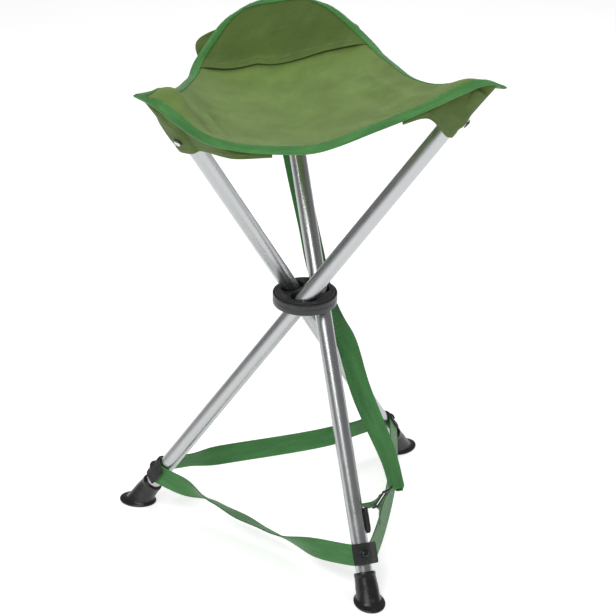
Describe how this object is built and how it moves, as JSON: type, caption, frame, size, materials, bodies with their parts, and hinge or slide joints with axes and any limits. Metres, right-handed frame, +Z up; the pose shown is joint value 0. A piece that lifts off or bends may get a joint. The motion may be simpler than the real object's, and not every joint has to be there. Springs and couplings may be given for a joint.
{
  "type": "folding camp stool",
  "caption": "Folding camp stool: a slack triangular cloth sling on tubes that cross and pivot in a hub, with a webbing loop near the floor and a carry strap.",
  "frame": {"origin": "middle of the bounding box, on the floor plane the boots stand on", "axes": "+Z up out of the floor; -Y towards the single front foot, so the raised back corner of the seat is towards +Y; +X to the right seen from the front"},
  "size_m": [0.4119, 0.4335, 0.6174],
  "materials": {
    "aluminium_tube": "satin anodised, faint draw marks along the tube",
    "steel": "polished head, lightly worn",
    "hub_black": "satin moulded",
    "plug_black": "fine texture",
    "boot_rubber": "satin, dusty at the sole",
    "washer_black": "satin",
    "olive_cloth": "plain woven polyester, matt",
    "dark_olive_cloth": "plain woven polyester, matt",
    "binding_tape": "ribbed tape, folded over the edge",
    "green_webbing": "ribbed flat webbing",
    "black_fabric": "coated woven cloth"
  },
  "bodies": {
    "hub": {"hub_base": "hub_black", "hub_cap": "hub_black", "pivot_pin_front": "steel", "pivot_pin_right": "steel", "pivot_pin_left": "steel", "hub_screw_1": "steel", "hub_screw_2": "steel", "hub_screw_3": "steel", "seat_panel": "olive_cloth", "back_flap": "dark_olive_cloth", "binding_front": "binding_tape", "binding_left": "binding_tape", "binding_right": "binding_tape", "binding_arch": "binding_tape", "floor_webbing_back": "green_webbing", "floor_webbing_left": "green_webbing", "floor_webbing_right": "green_webbing"},
    "front_leg": {"leg_tube_front": "aluminium_tube", "top_plug_front": "plug_black", "foot_front": "boot_rubber", "strap_patch_front": "black_fabric", "patch_washer_front": "washer_black", "patch_rivet_front": "steel", "pocket_washer_front": "washer_black", "pocket_rivet_front": "steel", "pocket_back": "dark_olive_cloth", "carry_strap": "green_webbing", "strap_return": "green_webbing", "strap_anchor": "green_webbing", "strap_tail": "green_webbing", "strap_adjuster": "washer_black", "strap_tab": "black_fabric"},
    "right_leg": {"leg_tube_right": "aluminium_tube", "top_plug_right": "plug_black", "foot_right": "boot_rubber", "strap_patch_right": "black_fabric", "patch_washer_right": "washer_black", "patch_rivet_right": "steel", "pocket_washer_right": "washer_black", "pocket_rivet_right": "steel", "pocket_left": "dark_olive_cloth"},
    "left_leg": {"leg_tube_left": "aluminium_tube", "top_plug_left": "plug_black", "foot_left": "boot_rubber", "strap_patch_left": "black_fabric", "patch_washer_left": "washer_black", "patch_rivet_left": "steel", "pocket_washer_left": "washer_black", "pocket_rivet_left": "steel", "pocket_right": "dark_olive_cloth"}
  },
  "joints": [
    {"name": "fold_front", "type": "hinge", "parent": "hub", "child": "front_leg", "pos_m": [0.03254, 0.0135, 0.3026], "axis": [1, 0, 0], "range_deg": [0, 32], "deforming": ["seat_panel", "back_flap", "binding_front", "binding_left", "binding_right", "binding_arch", "floor_webbing_back", "floor_webbing_left", "floor_webbing_right", "pocket_back", "carry_strap", "strap_return", "strap_anchor", "strap_tail", "strap_adjuster", "pocket_left", "pocket_right"]},
    {"name": "fold_right", "type": "hinge", "parent": "hub", "child": "right_leg", "pos_m": [0.00458, 0.02964, 0.3026], "axis": [-0.5, 0.866, 0], "range_deg": [0, 32]},
    {"name": "fold_left", "type": "hinge", "parent": "hub", "child": "left_leg", "pos_m": [0.00458, -0.00264, 0.3026], "axis": [-0.5, -0.866, 0], "range_deg": [0, 32]}
  ],
  "couplings": [
    {"joint": "fold_right", "follows": "fold_front", "ratio": 1},
    {"joint": "fold_left", "follows": "fold_front", "ratio": 1}
  ]
}
